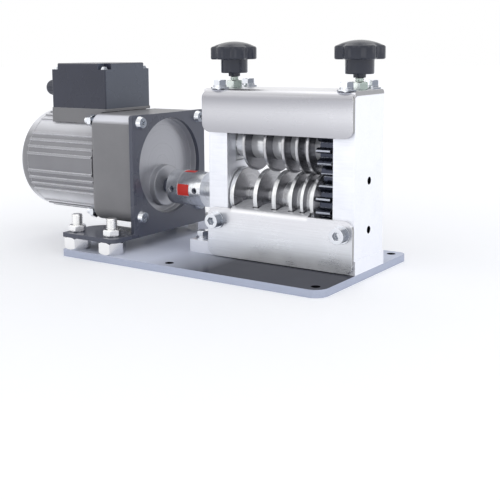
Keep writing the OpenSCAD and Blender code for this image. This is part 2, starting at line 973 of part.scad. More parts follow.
// Star knob: a domed rim with lobes, over a plain hub and a short neck
module star_knob(x, turn) {
    r_mid = knob_d / 2 - lobe_rise;
    n = lobes * lobe_steps;
    round_r = 1;
    dome_r = (pow(knob_d / 2, 2) + pow(knob_dome, 2)) / (2 * knob_dome);
    color("#23252b")
        translate([x, head_y, 0])
            difference() {
                union() {
                    intersection() {
                        rotate([0, 0, turn])
                            translate([0, 0, z_hub])
                                linear_extrude(knob_rim + knob_dome)
                                    polygon([for (k = [0 : n - 1])
                                        polar(r_mid + lobe_rise * cos(lobes * 360 * k / n), 360 * k / n)
                                    ]);
                        translate([0, 0, total_h - dome_r])
                            sphere(r = dome_r, $fn = 120);
                    }
                    translate([0, 0, z_neck])
                        cylinder(h = hub_h + round_r, d = hub_d);
                    translate([0, 0, z_neck - neck_h])
                        cylinder(h = neck_h + round_r, r = neck_r);
                }
                translate([0, 0, z_neck - neck_h - over])
                    cylinder(h = z_hub - z_neck + neck_h + over, d = adjust_d);
            }
}

module left_adjusting_screw() {
    adjusting_screw(x_mid_l);
}

module left_knob() {
    star_knob(x_mid_l, knob_turn_l);
}

module right_adjusting_screw() {
    adjusting_screw(x_mid_r);
}

module right_knob() {
    star_knob(x_mid_r, knob_turn_r);
}

// Motor bracket: an upright plate with two feet bent back under the motor
module motor_bracket() {
    z_high = z_motor + brk_top;
    foot_l = x_brk - x_foot;
    module foot_outline() {
        difference() {
            translate([x_foot, -base_d / 2])
                square([foot_l, brk_foot_d]);
            translate([x_foot, -base_d / 2])
                corner_cut(shear_r);
            translate([x_brk, -base_d / 2])
                rotate(90)
                    corner_cut(foot_r);
            translate([x_foot, brk_foot_d - base_d / 2])
                rotate(-90)
                    corner_cut(foot_r_back);
        }
    }
    color("#2f323a")
        difference() {
            union() {
                translate([x_box, head_y, (z_foot + z_high) / 2])
                    rotate([90, 0, 90])
                        linear_extrude(brk_t)
                            round_rect(brk_w, z_high - z_foot, brk_r);
                for (m = [0, 1])
                    mirror([0, m, 0])
                        translate([0, 0, z_foot])
                            linear_extrude(brk_t)
                                foot_outline();
            }
            translate([0, head_y, z_motor])
                rod_x(x_box - over, x_brk + over, brk_open_d / 2);
            at_box_screws()
                rod_x(x_box - over, x_brk + over, m5_r + loose);
            at_studs()
                translate([0, 0, z_foot - over])
                    cylinder(h = brk_t + 2 * over, r = m8_r + loose);
        }
}

// What a quarter round of radius r leaves of a square, at the origin
module corner_cut(r) {
    difference() {
        translate([-over, -over])
            square(r + over);
        translate([r, r])
            circle(r = r);
    }
}

module at_box_screws() {
    for (sy = [-1, 1], sz = [-1, 1])
        translate([0, head_y + sy * screw_sq / 2, z_motor + sz * screw_sq / 2])
            children();
}

module bracket_spacers() {
    color("#cdd0d4")
        at_studs()
            translate([0, 0, base_t])
                difference() {
                    intersection() {
                        hex(lift_h, lift_af);
                        cylinder(h = lift_h, r1 = lift_af / 2 + lift_h, r2 = lift_af / 2);
                        cylinder(h = lift_h, r1 = lift_af / 2, r2 = lift_af / 2 + lift_h);
                    }
                    translate([0, 0, -over])
                        cylinder(h = lift_h + 2 * over, r = m8_r + run);
                }
}

module bracket_studs() {
    color("#bfc2c7")
        at_studs()
            translate([0, 0, over / 2])
                cylinder(h = z_foot + brk_t + stud_up - over / 2, r = m8_r);
}

module bracket_nuts() {
    color("#c8cacf")
        at_studs()
            translate([0, 0, z_foot + brk_t])
                difference() {
                    hex(m8_nut, m8_af);
                    translate([0, 0, -over])
                        cylinder(h = m8_nut + 2 * over, r = m8_r + run);
                }
}

// Gearbox: a square housing with a round recess and an offset boss
module gearbox_housing() {
    color("#77767a")
        difference() {
            translate([x_box, head_y, z_motor])
                rotate([0, -90, 0])
                    soft_plate(box_w, box_w, box_l, box_r, box_edge);
            translate([0, head_y, z_motor])
                difference() {
                    rod_x(x_box - recess, x_box + over, brk_open_d / 2 - loose);
                    translate([0, 0, -offset_z])
                        rod_x(x_box - recess - over, x_box + 2 * over, boss_d / 2);
                }
            translate([0, head_y, z_roll])
                rod_x(x_box - box_l / 2, x_box + over, journal_d / 2 + run);
            at_box_screws()
                rod_x(x_motor - over, x_box + over, m5_r + loose);
        }
}

module gearbox_screws() {
    x_end = x_motor - box_screw_out;
    color("#d0d2d6")
        at_box_screws()
            difference() {
                union() {
                    rod_x(x_end, x_brk, m5_r);
                    translate([x_brk, 0, 0])
                        rotate([0, 90, 0])
                            cylinder(h = pan_h, r1 = pan_r, r2 = pan_r - slot_t);
                }
                for (a = [0, 90])
                    rotate([a + 30, 0, 0])
                        translate([x_brk + pan_h / 2, -slot_t / 2, -pan_r / 2])
                            cube([pan_h, slot_t, pan_r]);
            }
}

module gearbox_nuts() {
    color("#c8cacf")
        at_box_screws()
            difference() {
                translate([x_motor - box_nut_h, 0, 0])
                    rotate([0, 90, 0])
                        hex(box_nut_h, m5_af);
                rod_x(x_motor - box_nut_h - over, x_motor + over, m5_r + run);
            }
}

// Motor housing: ribs run along it in eight groups, with bare bands between
module motor_housing() {
    r_body = motor_d / 2 - rib_h;
    color("#8f8e92")
        translate([x_cap, head_y, z_motor])
            rotate([90, 0, 90])
                linear_extrude(motor_l) {
                    circle(r = r_body, $fn = 96);
                    for (q = [0 : 3], s = [-1, 1], share = rib_shares)
                        rotate(quarter * (q + s * share))
                            translate([0, -rib_w / 2])
                                square([motor_d / 2, rib_w]);
                }
}

module motor_end_cap() {
    r = motor_d / 2 - cap_step;
    color("#8f8e92")
        translate([x_cap, head_y, z_motor])
            rotate([0, -90, 0])
                rotate_extrude($fn = 96) {
                    square([r, cap_l - cap_r]);
                    square([r - cap_r, cap_l]);
                    translate([r - cap_r, cap_l - cap_r])
                        intersection() {
                            circle(r = cap_r);
                            square(cap_r);
                        }
                }
}

// Terminal box on its cast seat, whose top flange reaches over the gearbox
module terminal_seat() {
    w = tbox_w / 2;
    color("#77767a")
        difference() {
            union() {
                translate([x_seat_l, head_y - w, z_motor])
                    cube([x_motor - x_seat_l - play, tbox_w, z_seat - z_motor]);
                translate([x_seat_l, head_y - w, z_flange])
                    cube([tbox_l, tbox_w, z_seat - z_flange]);
            }
            translate([0, head_y, z_motor])
                rod_x(x_seat_l - over, x_motor + over, motor_d / 2 + run);
            at_terminal_screws()
                translate([0, 0, z_flange - over])
                    cylinder(h = z_seat - z_flange + 2 * over, r = tscrew_r + run);
        }
}

module at_terminal_screws() {
    translate([x_seat_l + tbox_l / 2, head_y, 0])
        at_corners((tbox_l - tbox_notch) / 2, (tbox_w - tbox_notch) / 2)
            children();
}

module terminal_cover() {
    l = tbox_l - 2 * tbox_wall;
    w = tbox_w - 2 * tbox_wall;
    x_c = x_seat_l + tbox_l / 2;
    color("#1d2027")
        difference() {
            translate([x_c, head_y, z_seat])
                soft_plate(tbox_l, tbox_w, tbox_h, tbox_r, tbox_top_r);
            translate([x_c, head_y, z_seat - over])
                linear_extrude(tbox_h - tbox_drop - tbox_wall + over)
                    difference() {
                        round_rect(l, w, tbox_r);
                        for (sx = [-1, 1], sy = [-1, 1])
                            translate([sx * tbox_l / 2, sy * tbox_w / 2])
                                square(2 * (tbox_notch + tbox_wall), center = true);
                    }
            translate([x_c, head_y, z_seat + tbox_h - tbox_drop])
                at_corners(tbox_l / 2, tbox_w / 2)
                    translate([-tbox_notch, -tbox_notch, 0])
                        cube([2 * tbox_notch, 2 * tbox_notch, tbox_drop + over]);
            at_terminal_screws()
                translate([0, 0, z_seat - over])
                    cylinder(h = tbox_h + 2 * over, r = tscrew_r + loose);
            translate([0, head_y - tbox_w / 2 + gland_in, z_seat + tbox_h - gland_low])
                rod_x(x_seat_l - over, x_seat_l + tbox_wall + over, gland_hole_r + run);
        }
}

module terminal_screws() {
    z = z_seat + tbox_h - tbox_drop;
    color("#c8cacf")
        at_terminal_screws()
            difference() {
                union() {
                    translate([0, 0, z_flange + play])
                        cylinder(h = z - z_flange + play, r = tscrew_r);
                    translate([0, 0, z])
                        cylinder(h = tscrew_head_h, r1 = tscrew_head_r, r2 = tscrew_r);
                }
                translate([-tscrew_r, -slot_t / 2, z + tscrew_head_h / 2])
                    cube([2 * tscrew_r, slot_t, tscrew_head_h]);
            }
}

module terminal_block() {
    l = tbox_l - 2 * (tbox_notch + tbox_wall) - 2 * over;
    w = tbox_w / 2 - block_in;
    color("#b9b49a")
        translate([x_seat_l + tbox_l / 2, head_y + over, z_seat])
            difference() {
                translate([-l / 2, 0, 0])
                    cube([l, w, tblock_h]);
                for (k = [-1.5 : 1 : 1.5])
                    translate([k * l / 4, w / 2, tblock_h / 2])
                        cylinder(h = tblock_h, r = w / 6);
            }
}

module cable_gland() {
    r = gland_d / 2;
    body = r - over / 2;
    bore = gland_hole_r - over;
    dome = gland_l - r / 2;
    color("#1d2027")
        translate([x_seat_l, head_y - tbox_w / 2 + gland_in, z_seat + tbox_h - gland_low])
            rotate([0, -90, 0]) {
                rotate_extrude()
                    polygon(concat(
                        [[bore, -tbox_wall], [gland_hole_r, -tbox_wall], [gland_hole_r, 0]],
                        [[r, 0], [r, gland_base_l], [body, gland_base_l]],
                        [for (k = [0 : dome_steps]) [
                            gland_hole_r + (body - gland_hole_r) * cos(k * 90 / dome_steps),
                            dome + r / 2 * sin(k * 90 / dome_steps)
                        ]],
                        [[bore, gland_l]]
                    ));
                for (k = [0 : gland_ribs - 1])
                    rotate(k * 360 / gland_ribs)
                        translate([body - over, -over / 4, gland_base_l - over])
                            cube([over + over / 4, over / 2, dome - gland_base_l + over - play]);
            }
}

// Gear shaft with its key, in the coupling's motor side
module gearbox_shaft() {
    key = journal_d / 3;
    color("#2b2c30")
        translate([0, head_y, z_roll]) {
            rod_x(x_box - box_l / 2 + over, x_coup_l + coup_l / 3 - over, journal_d / 2);
            translate([x_brk, -key / 2, 0])
                cube([x_coup_l - x_brk - play, key, journal_d / 2 + key / 2]);
        }
}

// Jaws of one hub, on a ring between the bore and the rim
module jaws(x0, x1, turn) {
    jaw_a = 90 - arm_a;
    intersection() {
        ring_x(x0, x1, coup_d / 2, journal_d / 2 + over);
        for (s = [0, 180])
            rotate([s + turn, 0, 0])
                rotate([0, 90, 0])
                    translate([0, 0, x0])
                        rotate_extrude(angle = jaw_a, start = -jaw_a / 2)
                            square([coup_d, x1 - x0]);
    }
}

module coupling_hub(x0, x1, side) {
    x_a = side > 0 ? x0 - coup_l / 3 : x1 - over;
    color("#c4c7cb")
        translate([0, head_y, z_roll])
            difference() {
                union() {
                    ring_x(x0, x1, coup_d / 2, journal_d / 2);
                    jaws(x_a, x_a + coup_l / 3 + over, side > 0 ? 45 : 135);
                }
                for (a = [90, 180])
                    rotate([a, 0, 0])
                        translate([(x0 + x1) / 2, 0, 0])
                            cylinder(h = coup_d, d = coup_d / 6);
            }
}

module coupling_motor_hub() {
    coupling_hub(x_coup_l, x_coup_l + coup_l / 3, -1);
}

module coupling_roller_hub() {
    coupling_hub(x_coup_r - coup_l / 3, x_coup_r, 1);
}

module coupling_insert() {
    x0 = x_coup_l + coup_l / 3;
    color("#d6342c")
        translate([0, head_y, z_roll])
            intersection() {
                ring_x(x0, x0 + coup_l / 3, coup_d / 2 - play / 2, journal_d / 2 - over);
                union() {
                    rod_x(x0, x0 + coup_l / 3, journal_d / 2 + over);
                    for (a = [0, 90])
                        rotate([a, 0, 0])
                            for (s = [0, 180])
                                rotate([s, 0, 0])
                                    rotate([0, 90, 0])
                                        translate([0, 0, x0])
                                            rotate_extrude(angle = arm_a, start = -arm_a / 2)
                                                square([coup_d, coup_l / 3]);
                }
            }
}

module coupling_set_screws() {
    r = coup_d / 12;
    color("#2b2c30")
        translate([0, head_y, z_roll])
            for (x = [x_coup_l + coup_l / 6, x_coup_r - coup_l / 6], a = [90, 180])
                rotate([a, 0, 0])
                    translate([x, 0, journal_d / 2])
                        difference() {
                            cylinder(h = (coup_d - journal_d) / 2 - over, r = r - run / 2);
                            translate([0, 0, (coup_d - journal_d) / 4])
                                hex(coup_d, r);
                        }
}

base_plate();
head_base();
left_side_plate();
right_side_plate();
upper_cover();
lower_cover();
cover_bolts();
cover_washers();
lower_cover_screws();
lower_cover_washers();
head_base_bolts();
head_base_washers();
side_plate_screws();
roller_bearings();
adjuster_nuts();
lift_springs();
motor_bracket();
bracket_spacers();
bracket_studs();
bracket_nuts();
gearbox_housing();
gearbox_screws();
gearbox_nuts();
motor_housing();
motor_end_cap();
terminal_seat();
terminal_cover();
terminal_block();
terminal_screws();
cable_gland();
gearbox_shaft();
coupling_motor_hub();
coupling_insert();
coupling_roller_hub();
coupling_set_screws();
grooved_roller();
lower_gear();
left_bearing_block();
right_bearing_block();
block_bushes();
knife_shaft();
knives();
knife_spacers();
upper_gear();
left_adjusting_screw();
left_knob();
right_adjusting_screw();
right_knob();
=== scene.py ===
"""Electric wire stripping machine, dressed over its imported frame.

Lengths are in metres in the frame's own axes: X along the shafts, Y to the back, Z up.
"""
import math

import bmesh
import bpy
from mathutils import Matrix, Vector

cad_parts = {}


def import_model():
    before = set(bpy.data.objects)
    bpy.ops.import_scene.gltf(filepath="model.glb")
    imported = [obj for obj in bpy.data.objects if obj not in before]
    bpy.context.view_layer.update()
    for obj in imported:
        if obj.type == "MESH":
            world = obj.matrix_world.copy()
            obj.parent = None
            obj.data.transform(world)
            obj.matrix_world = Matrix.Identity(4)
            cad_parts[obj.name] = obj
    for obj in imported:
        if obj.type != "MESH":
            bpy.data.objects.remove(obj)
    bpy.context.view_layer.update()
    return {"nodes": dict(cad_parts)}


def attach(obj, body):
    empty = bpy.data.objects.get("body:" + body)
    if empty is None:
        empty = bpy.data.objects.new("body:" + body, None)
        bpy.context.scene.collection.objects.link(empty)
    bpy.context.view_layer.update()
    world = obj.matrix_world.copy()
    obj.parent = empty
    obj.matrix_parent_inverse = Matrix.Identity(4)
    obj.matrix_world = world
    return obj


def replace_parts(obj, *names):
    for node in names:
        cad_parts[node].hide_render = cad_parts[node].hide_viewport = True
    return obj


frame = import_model()
NODES = frame["nodes"]
MM = 0.001

# Axes of the turning pieces, in millimetres: Y and Z of each
ROLLER_AXIS = (3.0, 46.5)
KNIFE_AXIS = (3.0, 81.5)
MOTOR_AXIS = (3.0, 61.5)

# Where looks change, in millimetres: radii round those axes, for the painted highlights on the
# gear teeth and on the motor's ribs and for the recess, and the recess's floor along X
GEAR_CREST_R = 19.7
RIB_CREST_R = 38.4
RECESS_R = 34.46
RECESS_X = -64.5

# The base plate's end at the head and its back edge, and the block's end on it
PLATE_END = 105
PLATE_BACK = 60
BLOCK_END = 104

# Where the adjusting screws stand along X, and their Y
ADJUSTERS = {"left": 1.5, "right": 96.5}
SCREW_Y = 3.0

# Middles of the bores that get a painted shade
BASE_BORES = [(x, y, 0) for x in (-14, 97) for y in (-52, 52)]
SIDE_BORES = [(102, 3, z) for z in (30.8, 62.2)]


# Node helpers


class Tree:
    """A material's node tree, with short calls for the nodes that are used here."""

    def __init__(self, name):
        self.mat = bpy.data.materials.new(name)
        self.mat.use_nodes = True
        self.nt = self.mat.node_tree
        self.nt.nodes.clear()
        out = self.nt.nodes.new("ShaderNodeOutputMaterial")
        self.bsdf = self.nt.nodes.new("ShaderNodeBsdfPrincipled")
        self.nt.links.new(self.bsdf.outputs[0], out.inputs[0])

    def node(self, kind, **settings):
        n = self.nt.nodes.new(kind)
        for key, value in settings.items():
            setattr(n, key, value)
        return n

    def link(self, a, b):
        self.nt.links.new(a, b)

    def feed(self, socket, value):
        if isinstance(value, bpy.types.NodeSocket):
            self.link(value, socket)
        elif value is not None:
            socket.default_value = value

    def set(self, **values):
        for key, value in values.items():
            self.feed(self.bsdf.inputs[key.replace("_", " ")], value)

    def coord(self):
        return self.node("ShaderNodeTexCoord").outputs["Object"]

    def share(self, vector, axis):
        """One component of a vector: 0 for X, 1 for Y, 2 for Z."""
        n = self.node("ShaderNodeSeparateXYZ")
        self.link(vector, n.inputs[0])
        return n.outputs[axis]

    def scaled(self, *scales):
        n = self.node("ShaderNodeMapping")
        n.inputs["Scale"].default_value = scales
        self.link(self.coord(), n.inputs["Vector"])
        return n.outputs[0]

    def noise(self, vector, scale=1.0, detail=3.0, rough=0.5):
        n = self.node("ShaderNodeTexNoise")
        self.link(vector, n.inputs["Vector"])
        n.inputs["Scale"].default_value = scale
        n.inputs["Detail"].default_value = detail
        n.inputs["Roughness"].default_value = rough
        return n.outputs["Fac"]

    def spread(self, value, low, high, from_low=0.3, from_high=0.7):
        n = self.node("ShaderNodeMapRange")
        self.link(value, n.inputs["Value"])
        n.inputs["From Min"].default_value = from_low
        n.inputs["From Max"].default_value = from_high
        n.inputs["To Min"].default_value = low
        n.inputs["To Max"].default_value = high
        return n.outputs[0]

    def math(self, kind, a, b=None):
        n = self.node("ShaderNodeMath", operation=kind)
        self.feed(n.inputs[0], a)
        self.feed(n.inputs[1], b)
        return n.outputs[0]

    def mix(self, fac, a, b):
        n = self.node("ShaderNodeMix", data_type="RGBA")
        self.feed(n.inputs[0], fac)
        self.feed(n.inputs[6], a if isinstance(a, bpy.types.NodeSocket) else (*a, 1))
        self.feed(n.inputs[7], b if isinstance(b, bpy.types.NodeSocket) else (*b, 1))
        return n.outputs[2]

    def bump(self, height, strength, distance, normal=None):
        n = self.node("ShaderNodeBump")
        n.inputs["Strength"].default_value = strength
        n.inputs["Distance"].default_value = distance
        self.link(height, n.inputs["Height"])
        self.feed(n.inputs["Normal"], normal)
        return n.outputs[0]

    def pick(self, fac, a, b):
        n = self.node("ShaderNodeMix", data_type="FLOAT")
        for socket, value in zip(n.inputs, (fac, None, a, b)):
            self.feed(socket, value)
        return n.outputs[0]

    def around(self, axis):
        """Place along an X axis, radius from it and the tangent round it."""
        centre = self.node("ShaderNodeVectorMath", operation="SUBTRACT")
        self.link(self.coord(), centre.inputs[0])
        centre.inputs[1].default_value = (0, axis[0] * MM, axis[1] * MM)
        x, y, z = (self.share(centre.outputs[0], k) for k in range(3))
        squares = [self.math("MULTIPLY", k, k) for k in (y, z)]
        tangent = self.node("ShaderNodeVectorMath", operation="CROSS_PRODUCT")
        tangent.inputs[0].default_value = (1, 0, 0)
        self.link(centre.outputs[0], tangent.inputs[1])
        unit = self.node("ShaderNodeVectorMath", operation="NORMALIZE")
        self.link(tangent.outputs[0], unit.inputs[0])
        return x, self.math("SQRT", self.math("ADD", *squares)), unit.outputs[0]

    def rings(self, x, radius, scale):
        """Fine lines that run round an axis."""
        along = self.node("ShaderNodeCombineXYZ")
        self.link(x, along.inputs[0])
        self.link(radius, along.inputs[1])
        return self.noise(along.outputs[0], scale, 3.0, 0.7)

    def edge(self, radius):
        n = self.node("ShaderNodeBevel", samples=6)
        n.inputs["Radius"].default_value = radius
        return n.outputs[0]

    def faces(self, axis, kind="True Normal"):
        """How far the surface faces along an axis."""
        return self.share(self.node("ShaderNodeNewGeometry").outputs[kind], axis)

    def near(self, places, reach, keep):
        """1 inside the bores of radius reach at these places, given in millimetres.

        keep holds the three scales that flatten the space along each bore.
        """
        total = None
        flat = self.node("ShaderNodeVectorMath", operation="MULTIPLY")
        self.link(self.coord(), flat.inputs[0])
        flat.inputs[1].default_value = keep
        for place in places:
            away = self.node("ShaderNodeVectorMath", operation="DISTANCE")
            self.link(flat.outputs[0], away.inputs[0])
            away.inputs[1].default_value = [c * MM * k for c, k in zip(place, keep)]
            inside = self.math("LESS_THAN", away.outputs["Value"], reach * MM)
            total = inside if total is None else self.math("MAXIMUM", total, inside)
        return total

    def edge_wear_and_highlight(self, edge, chips=350, low=0.25):
        """0 on flat places, up to 1 along edges, broken up by a noise: the mask for edge wear and
        for a painted edge highlight.
        """
        geometry = self.node("ShaderNodeNewGeometry")
        dot = self.node("ShaderNodeVectorMath", operation="DOT_PRODUCT")
        self.link(edge, dot.inputs[0])
        self.link(geometry.outputs["Normal"], dot.inputs[1])
        rim = self.spread(dot.outputs["Value"], 1.0, 0.0, 0.86, 0.985)
        broken = self.spread(self.noise(self.coord(), chips), low, 1.0, 0.4, 0.6)
        return self.math("MULTIPLY", rim, broken)

    def across(self, low, high):
        """0 on faces that run along X, 1 on those that face along it, either way."""
        return self.spread(self.math("ABSOLUTE", self.faces(0)), 0.0, 1.0, low, high)


def shade(color, low=0.82, high=1.12):
    """A darker and a lighter value of a colour, for patches and grain."""
    return tuple(c * low for c in color), tuple(min(c * high, 1) for c in color)


def metal(
    name, color, rough, grain=(400, 400, 400), depth=0.00002, edge=0.0003, patch=60,
    rim=None, bores=None, side=None,
):
    """Bare metal whose grain is stretched by its three scales, with a painted shade in the bores.

    rim is the tone of the edges, edge wear with a painted highlight, and side a painted shade on
    faces that look along X.
    """
    t = Tree(name)
    lines = t.noise(t.scaled(*grain), 1.0, 4.0, 0.6)
    cloud = t.noise(t.coord(), patch, 3.0)
    dark, light = shade(color, 0.9, 1.06)
    soft = t.edge(edge)
    surface = t.mix(t.math("MULTIPLY", lines, cloud), light, dark)
    # Painted shade: the bores are coloured near black
    if bores:
        surface = t.mix(t.near(bores, 3.2, (1, 1, 1)), surface, (0.01, 0.011, 0.015))
    # Painted shade: faces that look along X take the darker side tone
    if side:
        surface = t.mix(t.across(0.45, 0.65), surface, side)
    # The edges take the rim tone: edge wear and a painted highlight
    t.set(
        Base_Color=t.mix(t.edge_wear_and_highlight(soft), surface, rim or tuple(min(c * 1.25, 0.97) for c in color)),
        Metallic=1.0,
        Roughness=t.spread(t.math("ADD", lines, cloud), rough * 0.8, rough * 1.25, 0.7, 1.3),
        Normal=t.bump(lines, 0.5, depth, soft),
    )
    return t.mat


def paint(
    name, color, rough, grain=1800, depth=0.00003, edge=0.0004, rim=(0.1, 0.1, 0.1), side=None
):
    """Paint or moulded plastic with a fine pebbled skin and faint clouds.

    rim is the tone of the edges, edge wear with a painted highlight, and side a painted light on
    faces that look along +X.
    """
    t = Tree(name)
    pebble = t.noise(t.coord(), grain, 2.0)
    cloud = t.noise(t.coord(), 45, 4.0)
    dark, light = shade(color)
    soft = t.edge(edge)
    skin = t.mix(cloud, dark, light)
    # Painted light: faces that look along +X take the lighter side tone
    if side:
        skin = t.mix(t.spread(t.faces(0), 0.0, 1.0, 0.9, 0.98), skin, side)
    # The edges take the rim tone: edge wear and a painted highlight
    t.set(
        Base_Color=t.mix(t.math("MULTIPLY", t.edge_wear_and_highlight(soft), 0.6), skin, rim),
        Roughness=t.spread(cloud, rough * 0.85, rough * 1.15),
        Normal=t.bump(pebble, 0.6, depth, soft),
    )
    return t.mat


def turned(name, color, rough, axis, bare, edge=0.0002, rings=900, flank=None, gloss=0.6):
    """Metal turned on a lathe: fine rings round an X axis, and highlights that fan out.

    bare is how metallic the surface is, and flank a painted shade on the faces across the axis.
    """
    t = Tree(name)
    x, radius, tangent = t.around(axis)
    lines = t.rings(x, radius, rings)
    # Painted shade: the faces across the axis take the darker flank tone
    tone = t.mix(t.across(0.35, 0.8), color, flank or color)
    ringed = t.mix(t.spread(lines, 0.0, 0.22), tone, (0.10, 0.10, 0.11))
    soft = t.edge(edge)
    # The edges are near white: edge wear and a painted highlight
    t.set(
        Base_Color=t.mix(t.edge_wear_and_highlight(soft, low=0.6), ringed, (0.95, 0.95, 0.96)),
        Metallic=bare,
        Roughness=t.spread(lines, rough * 0.8, rough * 1.25),
        Anisotropic=gloss,
        Tangent=tangent,
        Normal=t.bump(lines, 0.3, 0.000004, soft),
    )
    return t.mat


def gear_steel(name, color, crests):
    """Dark oiled steel with a painted highlight on the crests of its teeth."""
    t = Tree(name)
    radii = [t.around(axis)[1] for axis in (ROLLER_AXIS, KNIFE_AXIS)]
    # Painted highlight: beyond the given radius the teeth take the light tone
    painted_crest_highlight = t.math("GREATER_THAN", t.math("MINIMUM", *radii), GEAR_CREST_R * MM)
    lines = t.noise(t.scaled(900, 300, 300), 1.0, 4.0, 0.6)
    dark, light = shade(color)
    dull, bright = shade(crests, 0.85, 1.15)
    soft = t.edge(0.0004)
    skin = t.mix(painted_crest_highlight, t.mix(lines, dark, light), t.mix(lines, dull, bright))
    # The edges are lighter: edge wear and a painted highlight
    t.set(
        Base_Color=t.mix(t.edge_wear_and_highlight(soft, low=0.5), skin, (0.55, 0.57, 0.62)),
        Metallic=0.9,
        Roughness=t.spread(lines, 0.2, 0.3),
        Normal=t.bump(lines, 0.5, 0.00001, soft),
    )
    return t.mat


def gearbox_paint(name, color, machined):
    """Painted casting, with a painted highlight on its upper rounded edges and along its edges.

    The round recess in its face and the boss in it are bare, machined metal.
    """
    t = Tree(name)
    x, radius = t.around(MOTOR_AXIS)[:2]
    bare = t.math(
        "MULTIPLY",
        t.math("LESS_THAN", radius, RECESS_R * MM),
        t.math("GREATER_THAN", x, RECESS_X * MM),
    )
    lines = t.rings(x, radius, 2200)
    pebble = t.noise(t.coord(), 1200, 2.0)
    cloud = t.noise(t.coord(), 45, 4.0)
    soft = t.edge(0.0016)
    dark, light = shade(color)
    dull, bright = shade(machined, 0.85, 1.1)
    up = t.faces(2)
    # Painted highlight: faces that slope upwards, on the rounded upper edges, take a light grey
    bend_highlight = t.math(
        "MULTIPLY", t.spread(up, 0.0, 1.0, 0.25, 0.5), t.spread(up, 1.0, 0.0, 0.85, 0.97)
    )
    skin = t.mix(bend_highlight, t.mix(cloud, dark, light), (0.80, 0.80, 0.84))
    # Painted highlight along the edges, in a lighter grey
    painted = t.mix(t.math("MULTIPLY", t.edge_wear_and_highlight(soft), 0.6), skin, (0.46, 0.46, 0.48))
    t.set(
        Base_Color=t.mix(bare, painted, t.mix(lines, dull, bright)),
        Metallic=t.math("MULTIPLY", bare, 0.5),
        Roughness=t.pick(bare, t.spread(cloud, 0.36, 0.46), t.spread(lines, 0.26, 0.38)),
        Normal=t.bump(t.pick(bare, pebble, lines), 0.5, 0.00002, soft),
    )
    return t.mat


def silver(name, flat, steep):
    """Silver-grey enamel with painted light and shade: lighter on faces that look up or down,
    darker on upright ones, with a painted highlight on the ribs' crests.
    """
    t = Tree(name)
    # Painted light and shade: faces that look up or down take the flat tone, upright ones the
    # darker steep tone
    painted_light_by_facing = t.spread(t.math("ABSOLUTE", t.faces(2, "Normal")), 0.0, 1.0, 0.5, 0.78)
    pebble = t.noise(t.coord(), 1300, 2.0)
    cloud = t.noise(t.coord(), 50, 4.0)
    soft = t.edge(0.0005)
    radius = t.around(MOTOR_AXIS)[1]
    # Painted highlight on the ribs' crests
    painted_crest_highlight = t.math("MULTIPLY", t.math("GREATER_THAN", radius, RIB_CREST_R * MM), 0.2)
    tone = t.mix(painted_crest_highlight, t.mix(painted_light_by_facing, steep, flat), (0.86, 0.86, 0.90))
    patchy = t.mix(t.spread(cloud, 0.0, 0.12), tone, (0.08, 0.08, 0.085))
    # The edges are near white: edge wear and a painted highlight
    t.set(
        Base_Color=t.mix(t.edge_wear_and_highlight(soft, low=0.7), patchy, (0.95, 0.95, 0.97)),
        Metallic=0.25,
        Roughness=t.spread(cloud, 0.32, 0.42),
        Normal=t.bump(pebble, 0.6, 0.00004, soft),
    )
    return t.mat


def banded(name, span, stops, sloped=None):
    """Brushed sheet with a painted reflection whose tone changes softly with height, and a painted
    shade on its cut end.

    span holds the lowest and highest height in millimetres, stops the heights and tones
    between them of the painted reflection, and sloped the less metallic tone of faces that look
    up.
    """
    t = Tree(name)
    # Painted reflection: the tone follows height through the stops
    height = t.spread(t.share(t.coord(), 2), 0.0, 1.0, span[0] * MM, span[1] * MM)
    painted_reflection_ramp = t.node("ShaderNodeValToRGB")
    painted_reflection_ramp.color_ramp.interpolation = "EASE"
    points = painted_reflection_ramp.color_ramp.elements
    for k, (place, tone) in enumerate(stops):
        share = (place - span[0]) / (span[1] - span[0])
        point = points.new(share) if k else points[0]
        point.position = share
        point.color = (*tone, 1)
    points.remove(points[len(points) - 1])
    t.link(height, painted_reflection_ramp.inputs[0])
    lines = t.noise(t.scaled(25, 2600, 2600), 1.0, 4.0, 0.6)
    cloud = t.noise(t.coord(), 60, 3.0)
    soft = t.edge(0.0004)
    brushed = t.mix(t.spread(lines, 0.0, 0.2), painted_reflection_ramp.outputs[0], (0.50, 0.50, 0.52))
    # Painted shade on the cut end, the faces that look along +X
    brushed = t.mix(t.math("GREATER_THAN", t.faces(0), 0.9), brushed, (0.34, 0.34, 0.35))
    if sloped:
        up = t.math("MULTIPLY", t.spread(t.faces(2), 0.0, 1.0, 0.5, 0.9), 0.9)
        brushed = t.mix(up, brushed, sloped)
    # The edges are near white: edge wear and a painted highlight
    t.set(
        Base_Color=t.mix(t.edge_wear_and_highlight(soft, low=0.6), brushed, (0.95, 0.95, 0.96)),
        Metallic=t.math("SUBTRACT", 1.0, t.math("MULTIPLY", up, 0.8)) if sloped else 1.0,
        Roughness=t.spread(t.math("ADD", lines, cloud), 0.24, 0.375, 0.7, 1.3),
        Normal=t.bump(lines, 0.4, 0.00002, soft),
    )
    return t.mat


